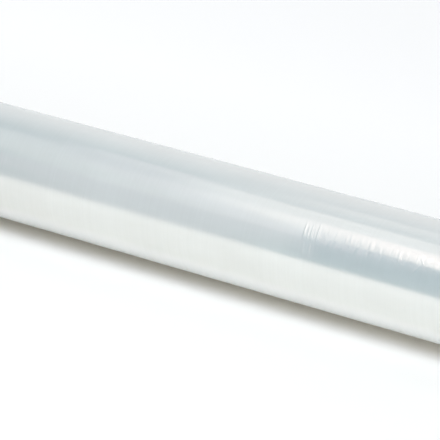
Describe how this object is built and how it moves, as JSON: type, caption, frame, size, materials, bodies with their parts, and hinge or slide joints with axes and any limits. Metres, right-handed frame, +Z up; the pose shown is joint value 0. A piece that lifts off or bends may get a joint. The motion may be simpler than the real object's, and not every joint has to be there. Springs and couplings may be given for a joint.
{
  "type": "stretch wrap roll",
  "caption": "Roll of clear stretch film wound on a paperboard tube core, lying on its side, used to wrap and bind goods for packing.",
  "frame": {"origin": "on the surface that the roll lies on, below the middle of the roll", "axes": "+X along the roll's axis, towards the end by the creases; +Z up; the creases face -Y"},
  "size_m": [0.51, 0.0897, 0.0895],
  "materials": {
    "clear_film": "clear stretch film in many turns, silvery and glossy, faintly blue-grey",
    "core_board": "grey-brown spiral-wound paperboard, matt"
  },
  "bodies": {
    "root": {"film_winding": "clear_film", "cardboard_core": "core_board"}
  },
  "joints": []
}
